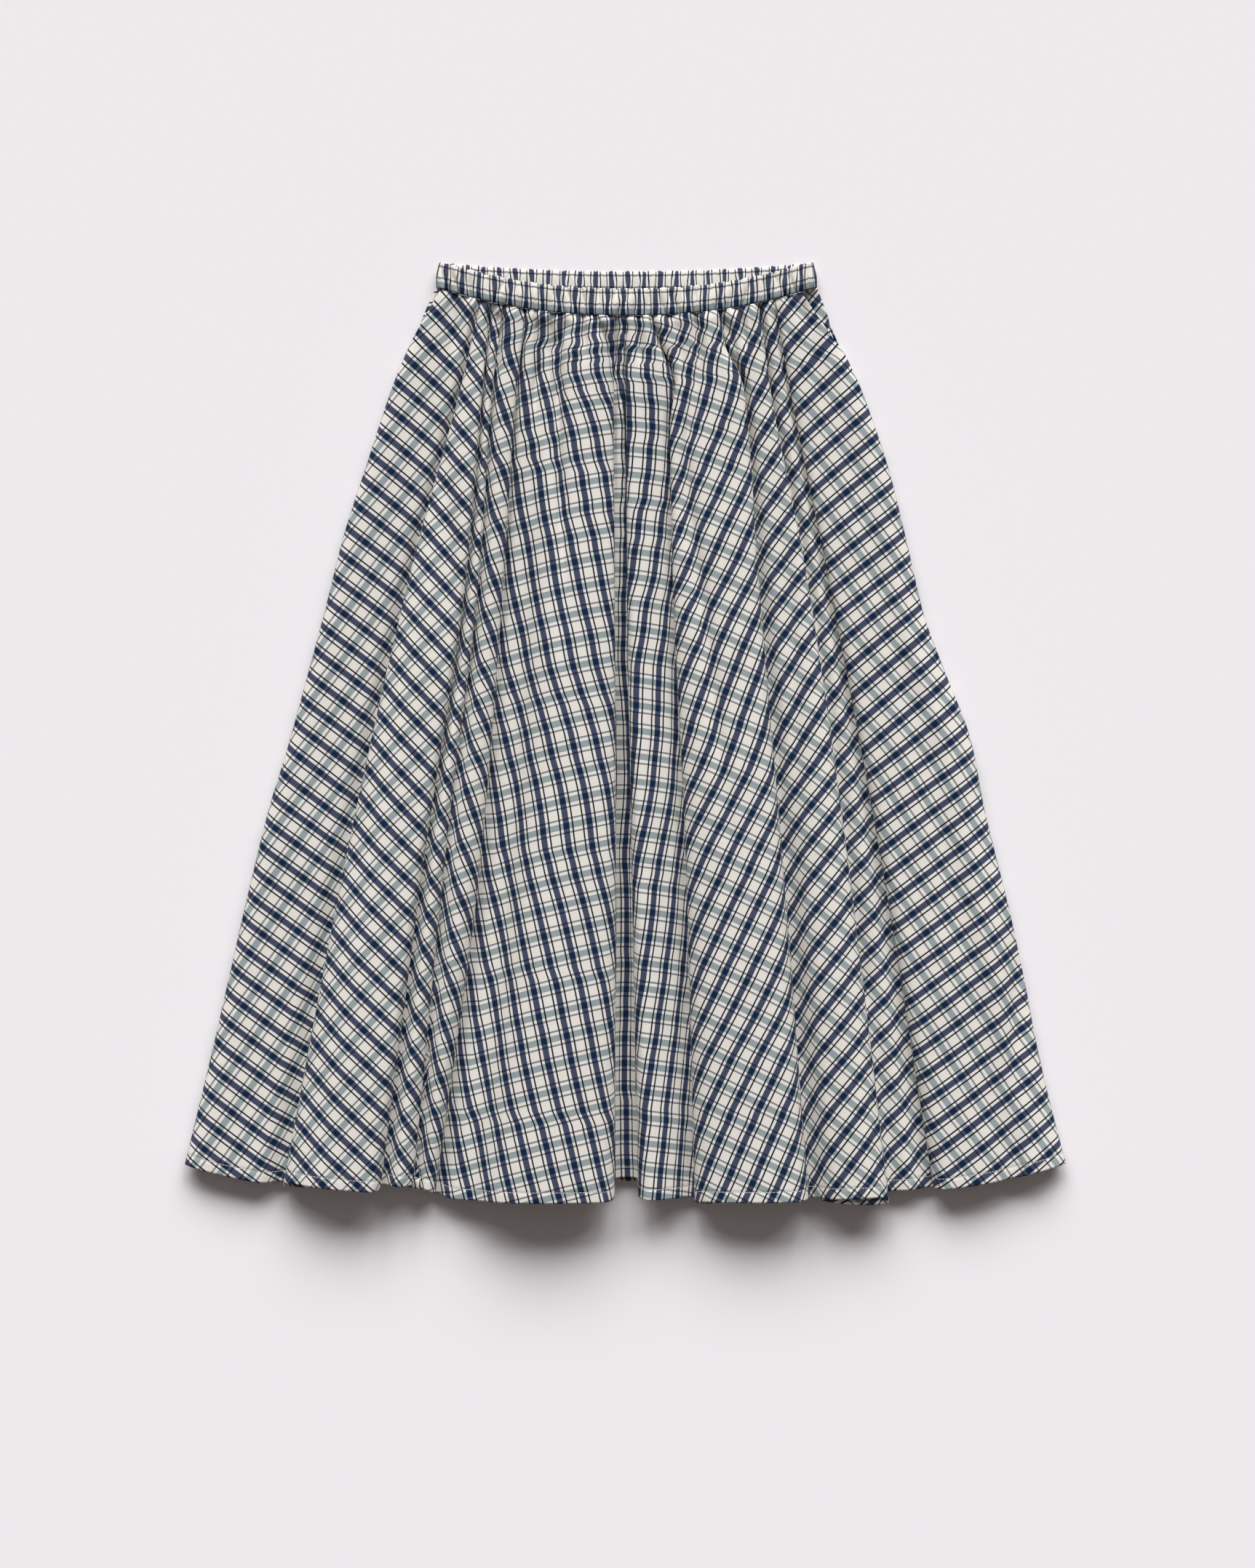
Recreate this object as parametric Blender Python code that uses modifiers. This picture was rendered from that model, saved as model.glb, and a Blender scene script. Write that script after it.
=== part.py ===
"""Gathered midi skirt in woven check, laid flat on its back, front facing up."""
import math

import bpy
import numpy as np

# Sizes in metres. x runs across the skirt, y from hem to waist, z up from the surface it lies on.
cloth_wall = 0.0012             # wall of the skirt panels and pocket facings
band_wall = 0.0026              # waist casing with the elastic inside it
seam_gap = 0.0003               # clearance between two sewn pieces
waist_half = 0.176              # half width of the gathered waist
seam_length = 0.813             # waist seam to hem, down the centre front
waist_dip = 0.0235              # how far the front waist seam hangs below its ends
hem_rise = 0.031                # how far the hem climbs from the centre to the side seams
band_height = 0.024             # waistband, top edge to seam
back_seam_mid = 0.018           # back waist seam above the front one, at the centre
waist_height = 0.0135           # front cloth above the surface, at the waist
side_height_waist = 0.0072      # side seam above the surface
side_height_hem = 0.0082
side_roll_waist = 0.009         # radius of the soft turn at the side seams
side_roll_hem = 0.014
tuck_start = 0.003              # how far apart a fold's two lines are before it starts

stations = (0.0, 0.10, 0.30, 0.62, 1.0)     # waist, hip, thigh, knee, hem
side_line = (0.176, 0.205, 0.254, 0.321, 0.405)

# Fold lines of the front. x of the visible edge in mm at the five stations, which neighbour
# lies on top, and the cloth tucked out of sight at the hem in mm.
front_folds = (
    # name           top      waist   hip  thigh  knee   hem  tuck
    ("left_outer", "right", -134, -153, -197, -256, -316, 53),
    ("left_inner", "left", -126, -133, -147, -185, -226, 44),
    ("left_strip", "left", -114, -124, -135, -166, -196, 40),
    ("left_front", "left", -93, -102, -113, -134, -176, 44),
    ("centre_left", "left", -11, -12, -11, -10, -11, 50),
    ("centre_right", "right", 0, 0, 1, 5, 11, 32),
    ("right_front", "right", 24, 39, 43, 55, 63, 84),
    ("right_inner", "left", 84, 109, 121, 143, 167, 68),
    ("right_outer", "left", 122, 133, 165, 203, 241, 62),
    ("right_side", "right", 137, 151, 184, 233, 283, 42),
)

# Pieces between the fold lines, left to right: stacking order (higher lies on top), the order of
# the return that follows, points across, and how far the hem is drawn up in mm.
front_pieces = (
    # name        order  return  points  lift
    ("side_left", 0, 1, 4, 0),
    ("panel_left", 8, 7, 5, 5),
    ("strip_outer", 6, 5, 1, 12),
    ("strip_inner", 4, 3, 1, 6),
    ("front_left", 2, 1, 10, -1),
    ("centre", 0, 1, 1, 19),
    ("front_right", 2, 3, 3, 1),
    ("panel_right", 8, 7, 8, -1),
    ("panel_outer", 6, 5, 4, 0),
    ("valley_right", 4, 5, 1, 3),
    ("side_right", 6, 0, 5, 1),
)

# Height of the top cloth at the hem: piece, fraction across its visible width, mm.
front_crowns = (
    (0, 0.18, 17), (0, 0.60, 18), (0, 1.00, 20),
    (1, 0.07, 23), (1, 0.50, 36), (1, 0.92, 36), (1, 1.00, 33),
    (2, 0.50, 34), (2, 1.00, 30),
    (3, 0.50, 30), (3, 1.00, 26),
    (4, 0.09, 18), (4, 0.17, 19), (4, 0.37, 37), (4, 0.52, 42), (4, 0.75, 40), (4, 1.00, 31),
    (5, 0.50, 17),
    (6, 0.00, 31), (6, 0.15, 35), (6, 0.90, 19),
    (7, 0.00, 26), (7, 0.30, 36), (7, 0.60, 39), (7, 0.90, 36), (7, 1.00, 32),
    (8, 0.12, 25), (8, 0.35, 33), (8, 0.65, 35), (8, 1.00, 29),
    (9, 0.30, 20), (9, 0.75, 16),
    (10, 0.00, 21), (10, 0.10, 24), (10, 0.35, 24), (10, 0.60, 18), (10, 0.72, 20), (10, 0.90, 16),
)

# Fold lines of the back, seen from below: fraction of the half width, the neighbour that lies
# outermost, and the tuck at the hem in mm.
back_folds = (
    # fraction  outer    tuck
    (-0.74, "left", 80),
    (-0.47, "left", 98),
    (-0.20, "left", 100),
    (0.20, "right", 100),
    (0.47, "right", 98),
    (0.74, "right", 80),
)
back_pieces = (
    # order  return  points
    (0, 1, 1),
    (2, 3, 2),
    (4, 5, 2),
    (6, 5, 3),
    (4, 3, 2),
    (2, 1, 2),
    (0, 0, 1),
)

front_rows = (0.0, 0.014, 0.03, 0.048, 0.066, 0.09, 0.13, 0.20, 0.30, 0.44, 0.62, 0.81, 1.0)
back_rows = (0.0, 0.02, 0.05, 0.09, 0.15, 0.25, 0.40, 0.60, 0.80, 1.0)
facing_rows = (0.0, 0.02, 0.036, 0.055, 0.08, 0.11, 0.15, 0.195)
pocket_gapes = {"left": (0.005, 0.062), "right": (0.015, 0.076)}     # gape at the top, where it ends

cloth_colour = (0.62, 0.60, 0.56, 1.0)
band_colour = (0.50, 0.50, 0.50, 1.0)
facing_colour = (0.45, 0.48, 0.52, 1.0)


def smooth(value):
    """Smooth step from 0 to 1."""
    v = np.clip(value, 0.0, 1.0)
    return v * v * (3.0 - 2.0 * v)


def curve(knots_x, knots_y, x):
    """Cubic through the knots that adds no overshoot."""
    kx = np.asarray(knots_x, float)
    ky = np.asarray(knots_y, float)
    h = np.diff(kx)
    slope = np.diff(ky) / h
    tangent = np.zeros_like(ky)
    tangent[0] = slope[0]
    tangent[-1] = slope[-1]
    same = slope[:-1] * slope[1:] > 0.0
    mean = 2.0 * slope[:-1] * slope[1:] / np.where(same, slope[:-1] + slope[1:], 1.0)
    tangent[1:-1] = np.where(same, mean, 0.0)
    at = np.clip(np.asarray(x, float), kx[0], kx[-1])
    i = np.clip(np.searchsorted(kx, at) - 1, 0, len(h) - 1)
    u = (at - kx[i]) / h[i]
    return ((2 * u**3 - 3 * u**2 + 1) * ky[i] + (u**3 - 2 * u**2 + u) * h[i] * tangent[i]
            + (3 * u**2 - 2 * u**3) * ky[i + 1] + (u**3 - u**2) * h[i] * tangent[i + 1])


def half_width(t):
    return float(curve(stations, side_line, t))


def layer_pitch(t, waist, hem):
    """Distance between two stacked layers; it shrinks where the folds run out into gathers."""
    return (waist + (hem - waist) * t) * (0.2 + 0.8 * float(smooth(t / 0.05)))


def tuck_at(t, tuck):
    return tuck * t - tuck_start * (1.0 - t) ** 8


def piece_ends(lines, tops, tucks, left, right):
    """Left and right end of each piece, its tucked part included."""
    starts = [left]
    ends = []
    for x, top, tuck in zip(lines, tops, tucks):
        ends.append(x if top == "left" else x + tuck)
        starts.append(x - tuck if top == "left" else x)
    ends.append(right)
    return starts, ends


def across_piece(a, b, left, right, tucked, count, margin, turn):
    """x of the points along one piece, closer together where it dives under a neighbour."""
    dive = min(margin, 0.3 * (right - left))
    approach = min(turn, 0.25 * (b - a))
    if tucked[0]:
        places = [left + (a - left) * 0.7, left + (a - left) * 0.35, left,
                  left + 0.4 * dive, left + 0.75 * dive, left + 1.1 * dive]
    else:
        places = [a + approach]
    if tucked[1]:
        tail = [right - 1.1 * dive, right - 0.75 * dive, right - 0.4 * dive, right,
                right + (b - right) * 0.35, right + (b - right) * 0.7]
    else:
        tail = [b - approach]
    places += np.linspace(places[-1], tail[0], count + 2)[1:-1].tolist() + tail
    order = np.arange(len(places)) * 0.00002
    return np.minimum(np.maximum.accumulate(np.array(places)) + order, b - 0.00002 * len(places) + order)


def section_path(starts, ends, lines, points, lifts, margin, turn):
    """The cloth's way across, through every fold: x, layer number and hem lift."""
    way = []
    last = len(starts) - 1
    shown = [starts[0]] + lines + [ends[-1]]
    for i, (a, b, count, lift) in enumerate(zip(starts, ends, points, lifts)):
        tucked = (i > 0 and a != shown[i], i < last and b != shown[i + 1])
        if i:
            way.append((a, 2 * i, lift))
        else:
            way += [(a + 0.0001 * f, 0, lift) for f in (0, 3, 14, 40)]
        for x in across_piece(a, b, shown[i], shown[i + 1], tucked, count, margin, turn):
            way.append((x, 2 * i, lift))
        if i < last:
            back_to = starts[i + 1]
            mean = 0.5 * (lift + lifts[i + 1])
            way += [(b, 2 * i, lift), (b, 2 * i + 1, mean)]
            way += [(b + (back_to - b) * f, 2 * i + 1, mean) for f in (0.25, 0.5, 0.75)]
            way.append((back_to, 2 * i + 1, mean))
        else:
            way += [(b - 0.0001 * f, 2 * i, lift) for f in (40, 14, 3, 0)]
    way = np.array(way)
    ahead = np.vstack([way[1:], way[-1:]])
    behind = np.vstack([way[:1], way[:-1]])
    soft = (behind + 4.0 * way + ahead) / 6.0
    soft[0] = way[0]
    soft[-1] = way[-1]
    return soft


def layers_over(x, layer, starts, ends, orders, margin, sign):
    """How many layers lie over (sign 1) or under (sign -1) each point of the way."""
    spans = []
    for i in range(len(starts)):
        spans.append((starts[i], ends[i]))
        if i < len(starts) - 1:
            spans.append(tuple(sorted((ends[i], starts[i + 1]))))
    cover = np.array([smooth((x - a + margin) / margin) * smooth((b + margin - x) / margin)
                      for a, b in spans])
    counts = np.zeros((len(spans), len(x)))
    for k in range(len(spans)):
        for j in range(len(spans)):
            if sign * (orders[j] - orders[k]) > 0:
                counts[k] += cover[j]
    low = np.clip(np.floor(layer).astype(int), 0, len(spans) - 1)
    high = np.clip(low + 1, 0, len(spans) - 1)
    part = layer - np.floor(layer)
    index = np.arange(len(x))
    return (1.0 - part) * counts[low, index] + part * counts[high, index]


def turn_down(x, t, half):
    """1 on the flat, falling to 0 at the side seam in a quarter turn."""
    roll = side_roll_waist + (side_roll_hem - side_roll_waist) * t
    q = np.clip((np.abs(x) - (half - roll)) / roll, 0.0, 1.0)
    return np.sqrt(np.clip(1.0 - q * q, 0.0, 1.0))


def side_height(t):
    return side_height_waist + (side_height_hem - side_height_waist) * t


def front_lines(t):
    return [0.001 * float(curve(stations, row[2:7], t)) for row in front_folds]


def front_top(x, t, half, lines):
    """Height of the uppermost cloth of the front."""
    left = [-half] + lines
    right = lines + [half]
    places = [-half]
    heights = [14.0]
    for piece, part, height in front_crowns:
        places.append(left[piece] + part * (right[piece] - left[piece]))
        heights.append(height)
    places.append(half)
    heights.append(14.0)
    hem = 0.001 * curve(places, heights, x)
    return waist_height + (hem - waist_height) * (1.0 - (1.0 - t) ** 1.9)


def gathers(x, t, half, count, depth):
    """Small waves drawn up by the elastic, fading down the skirt."""
    u = x / half
    wave = np.cos(math.pi * count * u + 1.1 * np.sin(7.0 * u) + 0.6 * np.sin(19.0 * u))
    return depth * wave * math.exp(-t / 0.085) * (1.0 - np.abs(u) ** 6)


def row_y(x, t, half, lift, seam_mid, seam_end, hem_mid, hem_end):
    u = np.abs(x) / half
    seam = seam_mid + seam_end * u**2.2
    hem = -seam_length + hem_mid + hem_end * u**4 + 0.001 * lift
    return seam + t * (hem - seam)


def front_row(t):
    """Points of the front panel along one row."""
    half = half_width(t)
    lines = front_lines(t)
    tops = [row[1] for row in front_folds]
    tucks = [tuck_at(t, 0.001 * row[7]) for row in front_folds]
    gape = [width * (1.0 - min(t / close, 1.0)) for width, close in pocket_gapes.values()]
    starts, ends = piece_ends(lines, tops, tucks, -half + gape[0], half - gape[1])
    pitch = layer_pitch(t, 0.0024, 0.0040)
    margin = 0.006 + 0.014 * t
    path = section_path(starts, ends, lines, [row[3] for row in front_pieces],
                        [row[4] for row in front_pieces], margin, 2.2 * pitch)
    orders = []
    for row in front_pieces:
        orders += [row[1], row[2]]
    x = path[:, 0]
    over = layers_over(x, path[:, 1], starts, ends, orders[:-1], margin, 1)
    top = front_top(x, t, half, lines) - pitch * over + gathers(x, t, half, 13, 0.0018)
    base = side_height(t) + 1.2 * seam_gap
    z = base + (top - base) * turn_down(x, t, half)
    y = row_y(x, t, half, path[:, 2], 0.0, waist_dip, 0.0, hem_rise)
    return np.column_stack([x, y, z])


def back_row(t):
    """Points of the back panel along one row, its folds tucked to the inside."""
    half = half_width(t)
    lines = [row[0] * half for row in back_folds]
    tucks = [tuck_at(t, 0.001 * row[2]) for row in back_folds]
    inset = 0.0004 if t < 0.06 else 0.0
    starts, ends = piece_ends(lines, [row[1] for row in back_folds], tucks, -half + inset, half - inset)
    pitch = layer_pitch(t, 0.0022, 0.0030)
    margin = 0.006 + 0.014 * t
    path = section_path(starts, ends, lines, [row[2] for row in back_pieces],
                        [0.0] * len(back_pieces), margin, 2.2 * pitch)
    orders = []
    for row in back_pieces:
        orders += [row[0], row[1]]
    x = path[:, 0]
    under = layers_over(x, path[:, 1], starts, ends, orders[:-1], margin, -1)
    z = 0.5 * cloth_wall + pitch * under + gathers(x, t, half, 11, 0.0006) + 0.0006 * math.exp(-t / 0.085)
    edge = side_height(t) - 1.2 * seam_gap
    z = edge + (z - edge) * turn_down(x, t, half)
    y = row_y(x, t, half, 0.0, back_seam_mid, waist_dip - back_seam_mid, 0.015, hem_rise - 0.009)
    return np.column_stack([x, y, z])


def facing_row(t, sign):
    """Points of a pocket facing, from inside the skirt out to the side seam."""
    half = half_width(t)
    outer = half - 0.0030 * float(smooth((t - 0.03) / 0.022))
    x = sign * np.linspace(outer - 0.042, outer, 8)
    z = np.full(8, 0.0078 + 0.004 * t)
    y = row_y(x, t, half, 0.0, 0.0, waist_dip, 0.0, hem_rise)
    return np.column_stack([x, y, z])


def grid_object(name, rows, wall, colour, roughness, closed=False):
    """A piece of cloth: rows of points faced with quads, given its wall by Solidify."""
    count = len(rows[0])
    points = np.vstack(rows)
    across = count if closed else count - 1
    faces = []
    for r in range(len(rows) - 1):
        for c in range(across):
            n = (c + 1) % count
            faces.append((r * count + c, (r + 1) * count + c, (r + 1) * count + n, r * count + n))
    mesh = bpy.data.meshes.new(name)
    mesh.from_pydata(points.tolist(), [], faces)
    mesh.validate()
    mesh.shade_smooth()
    body = bpy.data.objects.new(name, mesh)
    skirt.objects.link(body)
    solid = body.modifiers.new("wall", "SOLIDIFY")
    solid.thickness = wall
    solid.offset = 0.0
    solid.use_rim = True
    material = bpy.data.materials.new(name + "_cloth")
    material.use_nodes = True
    shader = material.node_tree.nodes["Principled BSDF"]
    shader.inputs["Base Color"].default_value = colour
    shader.inputs["Roughness"].default_value = roughness
    shader.inputs["Metallic"].default_value = 0.0
    mesh.materials.append(material)
    return body


def band_rows(count, ribs):
    """The elastic casing, a flattened ring with soft ribs, as rows from its seam to its top edge."""
    radius = 0.5 * (waist_height - 0.5 * band_wall)
    centre = 0.5 * band_wall + radius
    straight = 2.0 * (waist_half - radius)
    around = 2.0 * straight + 2.0 * math.pi * radius
    s = np.arange(count) * around / count
    turn = math.pi * radius
    x = np.zeros(count)
    z = np.zeros(count)
    for i, place in enumerate(s):
        if place < straight:
            x[i] = -0.5 * straight + place
            z[i] = radius
        elif place < straight + turn:
            angle = (place - straight) / radius
            x[i] = 0.5 * straight + radius * math.sin(angle)
            z[i] = radius * math.cos(angle)
        elif place < 2.0 * straight + turn:
            x[i] = 0.5 * straight - (place - straight - turn)
            z[i] = -radius
        else:
            angle = (place - 2.0 * straight - turn) / radius
            x[i] = -0.5 * straight - radius * math.sin(angle)
            z[i] = -radius * math.cos(angle)
    front = smooth(0.5 + 0.5 * z / radius)
    u = np.abs(x) / waist_half
    front_seam = waist_dip * u**2.2
    back_seam = back_seam_mid + (waist_dip - back_seam_mid) * u**2.2
    seam = back_seam + (front_seam - back_seam) * front + seam_gap
    rib = np.cos(2.0 * math.pi * ribs * s / around + 0.9 * np.sin(9.0 * math.pi * s / around))
    rows = []
    for part, swell in ((0.0, 0.35), (0.5, 0.5), (1.0, 1.0)):
        lift = 0.00055 * swell * rib * front
        frill = 0.0007 * rib * (part == 1.0)
        rows.append(np.column_stack([x, seam + band_height * part + frill, centre + z + lift]))
    return rows


for old in list(bpy.data.objects):
    bpy.data.objects.remove(old, do_unlink=True)

skirt = bpy.data.collections.new("gathered_skirt")
bpy.context.scene.collection.children.link(skirt)

pieces = [
    grid_object("front_panel", [front_row(t) for t in front_rows], cloth_wall, cloth_colour, 0.85),
    grid_object("back_panel", [back_row(t) for t in back_rows], cloth_wall, cloth_colour, 0.85),
    grid_object("waistband", band_rows(208, 44), band_wall, band_colour, 0.85, closed=True),
    grid_object("pocket_left", [facing_row(t, -1.0) for t in facing_rows], cloth_wall, facing_colour, 0.85),
    grid_object("pocket_right", [facing_row(t, 1.0) for t in facing_rows], cloth_wall, facing_colour, 0.85),
]

# The origin is the middle of the footprint, on the surface the skirt lies on.
bpy.context.view_layer.update()
graph = bpy.context.evaluated_depsgraph_get()
corners = np.vstack([[tuple(v.co) for v in piece.evaluated_get(graph).data.vertices] for piece in pieces])
low = corners.min(axis=0)
high = corners.max(axis=0)
for piece in pieces:
    piece.location = (-0.5 * (low[0] + high[0]), -0.5 * (low[1] + high[1]), -low[2])
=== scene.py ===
import math

import bpy
import numpy as np
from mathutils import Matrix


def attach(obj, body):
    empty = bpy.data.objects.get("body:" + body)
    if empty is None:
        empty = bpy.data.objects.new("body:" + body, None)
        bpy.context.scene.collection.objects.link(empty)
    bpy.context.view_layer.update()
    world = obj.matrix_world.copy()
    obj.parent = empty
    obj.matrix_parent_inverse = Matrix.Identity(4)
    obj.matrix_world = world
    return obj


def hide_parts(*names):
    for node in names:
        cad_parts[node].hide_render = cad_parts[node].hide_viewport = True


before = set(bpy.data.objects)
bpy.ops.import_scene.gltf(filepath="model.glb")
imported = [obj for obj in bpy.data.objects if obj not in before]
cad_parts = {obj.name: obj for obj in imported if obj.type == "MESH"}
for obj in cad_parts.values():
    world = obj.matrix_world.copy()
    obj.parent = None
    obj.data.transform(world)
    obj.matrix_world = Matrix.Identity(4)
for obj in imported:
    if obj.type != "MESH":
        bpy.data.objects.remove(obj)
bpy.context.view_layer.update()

scene = bpy.context.scene


def addNode(tree, kind, place, **settings):
    made = tree.nodes.new(kind)
    made.location = place
    for name, value in settings.items():
        setattr(made, name, value)
    return made


def feed(tree, target, value):  # a link where the value is a socket
    if isinstance(value, bpy.types.NodeSocket):
        tree.links.new(value, target)
    else:
        target.default_value = value


def mathStep(tree, operation, first, second=None, third=None, place=(0, 0)):
    made = addNode(tree, "ShaderNodeMath", place, operation=operation)
    for number, value in enumerate((first, second, third)):
        if value is not None:
            feed(tree, made.inputs[number], value)
    return made.outputs[0]


def mixStep(tree, blend, amount, first, second, place=(0, 0)):
    made = addNode(tree, "ShaderNodeMix", place, data_type="RGBA", blend_type=blend)
    feed(tree, made.inputs["Factor"], amount)
    feed(tree, made.inputs[6], first)  # 6 and 7 are its two colours
    feed(tree, made.inputs[7], second)
    return made.outputs[2]


def newGroup(name, inputs, outputs):
    tree = bpy.data.node_groups.new(name, "ShaderNodeTree")
    for label, kind, *value in inputs:
        made = tree.interface.new_socket(name=label, in_out="INPUT", socket_type="NodeSocket" + kind)
        if value:
            made.default_value = value[0]
    for label, kind in outputs:
        tree.interface.new_socket(name=label, in_out="OUTPUT", socket_type="NodeSocket" + kind)
    start = addNode(tree, "NodeGroupInput", (-1200, 0))
    end = addNode(tree, "NodeGroupOutput", (1200, 0))
    return tree, start, end


def splitPlace(tree, start):
    parts = addNode(tree, "ShaderNodeSeparateXYZ", (-1000, 0))
    feed(tree, parts.inputs[0], start.outputs["Place"])
    return parts.outputs


def useGroup(tree, group, place, **values):
    made = addNode(tree, "ShaderNodeGroup", place, node_tree=group)
    for label, value in values.items():
        feed(tree, made.inputs[label.replace("_", " ")], value)
    return made


check = {
    "repeat": (0.0211, 0.0235),  # metres from band to band, across the warp and the weft
    "edge": 0.006,  # softness of a stripe's edge, in repeats
    "cream": (0.680, 0.655, 0.607, 1.0),
    "order": ("band", "clear", "line", "clear", "line", "clear"),
    "widths": (  # of the stripes in that order, in repeats: warp, weft
        (0.262, 0.111, 0.066, 0.384, 0.066, 0.111),
        (0.250, 0.115, 0.070, 0.380, 0.070, 0.115),
    ),
    "tints": (  # what a band or a line leaves of the cream: warp, weft
        {"band": (0.068, 0.088, 0.168, 1.0), "line": (0.010, 0.014, 0.044, 1.0)},
        {"band": (0.385, 0.472, 0.530, 1.0), "line": (0.285, 0.320, 0.385, 1.0)},
    ),
    "crossing": (0.14, 0.50, 0.80, 1.0),  # extra depth where the two wide bands cross
}


def stripeRamp(tree, widths, tints, phase, place):
    ramp = addNode(tree, "ShaderNodeValToRGB", place)
    feed(tree, ramp.inputs[0], phase)
    marks = []
    at = 0.0
    for kind, width in zip(check["order"], widths):
        tint = tints.get(kind, (1.0, 1.0, 1.0, 1.0))
        marks.append((at + check["edge"], tint))
        marks.append((at + width - check["edge"], tint))
        at += width
    stops = ramp.color_ramp.elements
    stops[0].position, stops[0].color = marks[0]
    stops[1].position, stops[1].color = marks[-1]
    for position, colour in marks[1:-1]:
        stops.new(position).color = colour
    return ramp.outputs[0]


def makeCheckGroup():  # colour of the check at a place on the cut, in metres
    tree, start, end = newGroup(
        "wovenCheck",
        [("Place", "Vector"), ("Warp phase", "Float", 0.0), ("Weft phase", "Float", 0.0)],
        [("Color", "Color")],
    )
    parts = splitPlace(tree, start)
    stripes = []
    bands = []
    for axis, label, row in ((0, "Warp phase", 200), (1, "Weft phase", -200)):
        widths = check["widths"][axis]
        scaled = mathStep(tree, "DIVIDE", parts[axis], check["repeat"][axis], place=(-820, row))
        moved = mathStep(tree, "ADD", scaled, start.outputs[label], place=(-660, row))
        phase = mathStep(tree, "FRACT", moved, place=(-500, row))
        stripes.append(stripeRamp(tree, widths, check["tints"][axis], phase, (-320, row)))
        bands.append(mathStep(tree, "LESS_THAN", phase, widths[0], place=(-320, row - 250)))
    crossed = mixStep(tree, "MULTIPLY", 1.0, stripes[0], stripes[1], place=(0, 100))
    both = mathStep(tree, "MULTIPLY", bands[0], bands[1], place=(180, -220))
    deeper = mixStep(tree, "MULTIPLY", both, crossed, check["crossing"], place=(380, 60))
    woven = mixStep(tree, "MULTIPLY", 1.0, deeper, check["cream"], place=(600, 60))
    tree.links.new(woven, end.inputs["Color"])
    return tree


threads = {
    "spacing": 0.00036,  # metres between two yarns
    "slub": 0.30,  # how much the yarns differ in thickness
    "toneDepth": 0.05,  # and in tone
}


def makeThreadGroup():  # a plain weave, yarns over and under, a little uneven
    tree, start, end = newGroup(
        "plainWeave",
        [("Place", "Vector"), ("Spacing", "Float", threads["spacing"])],
        [("Height", "Float"), ("Tone", "Float")],
    )
    parts = splitPlace(tree, start)
    waves = []
    yarns = []
    for axis, row in ((0, 250), (1, -250)):
        number = mathStep(tree, "DIVIDE", parts[axis], start.outputs["Spacing"], place=(-820, row))
        turned = mathStep(tree, "MULTIPLY", number, math.pi, place=(-660, row))
        waves.append(mathStep(tree, "SINE", turned, place=(-500, row)))
        whole = mathStep(tree, "FLOOR", number, place=(-660, row - 140))
        yarn = addNode(tree, "ShaderNodeTexWhiteNoise", (-500, row - 140), noise_dimensions="1D")
        feed(tree, yarn.inputs["W"], whole)
        yarns.append(yarn.outputs["Value"])
    over = mathStep(tree, "MULTIPLY", waves[0], waves[1], place=(-300, 0))
    both = mathStep(tree, "ADD", yarns[0], yarns[1], place=(-300, -300))
    uneven = mathStep(tree, "MULTIPLY", both, threads["slub"], place=(-120, -300))
    height = mathStep(tree, "ADD", over, uneven, place=(100, 0))
    centred = mathStep(tree, "SUBTRACT", both, 1.0, place=(-120, -460))
    toned = mathStep(tree, "MULTIPLY_ADD", centred, threads["toneDepth"], 1.0, place=(100, -400))
    tree.links.new(height, end.inputs["Height"])
    tree.links.new(toned, end.inputs["Tone"])
    return tree


stitch = {
    "length": 0.0031,  # one stitch and its gap
    "filled": 0.74,  # how much of that is thread
    "halfWidth": 0.00030,
    "pucker": 0.0024,  # how far from the row the cloth dips
    "softness": 0.4,  # of the dip's outer edge
    "ripple": 0.12,  # of the dip from stitch to stitch
    "threadRise": 0.5,
    "dentStrength": 0.8,
    "dentDepth": 0.0004,
    "thread": (0.52, 0.50, 0.46, 1.0),
}


def makeStitchGroup():  # Place's x runs along the row and y away from the edge
    tree, start, end = newGroup(
        "stitchRow",
        [("Place", "Vector"), ("Distance", "Float", 0.0095)],
        [("Mask", "Float"), ("Height", "Float")],
    )
    parts = splitPlace(tree, start)
    away = mathStep(tree, "SUBTRACT", parts[1], start.outputs["Distance"], place=(-820, 120))
    size = mathStep(tree, "ABSOLUTE", away, place=(-660, 120))
    onLine = mathStep(tree, "LESS_THAN", size, stitch["halfWidth"], place=(-480, 200))
    along = mathStep(tree, "DIVIDE", parts[0], stitch["length"], place=(-820, -120))
    phase = mathStep(tree, "FRACT", along, place=(-660, -120))
    inStitch = mathStep(tree, "LESS_THAN", phase, stitch["filled"], place=(-480, -120))
    mask = mathStep(tree, "MULTIPLY", onLine, inStitch, place=(-260, 60))
    near = mathStep(tree, "DIVIDE", size, stitch["pucker"], place=(-480, 360))
    dip = mathStep(tree, "SMOOTH_MIN", near, 1.0, stitch["softness"], place=(-300, 360))
    turned = mathStep(tree, "MULTIPLY", along, 2.0 * math.pi, place=(-480, -300))
    wave = mathStep(tree, "SINE", turned, place=(-300, -300))
    wavy = mathStep(tree, "MULTIPLY_ADD", wave, stitch["ripple"], dip, place=(-80, 260))
    raised = mathStep(tree, "MULTIPLY_ADD", mask, stitch["threadRise"], wavy, place=(120, 160))
    tree.links.new(mask, end.inputs["Mask"])
    tree.links.new(raised, end.inputs["Height"])
    return tree


toneNoise = {
    "patches": (14.0, 4.0),  # scale to a metre, and detail
    "fuzz": (900.0, 3.0),
}


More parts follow.
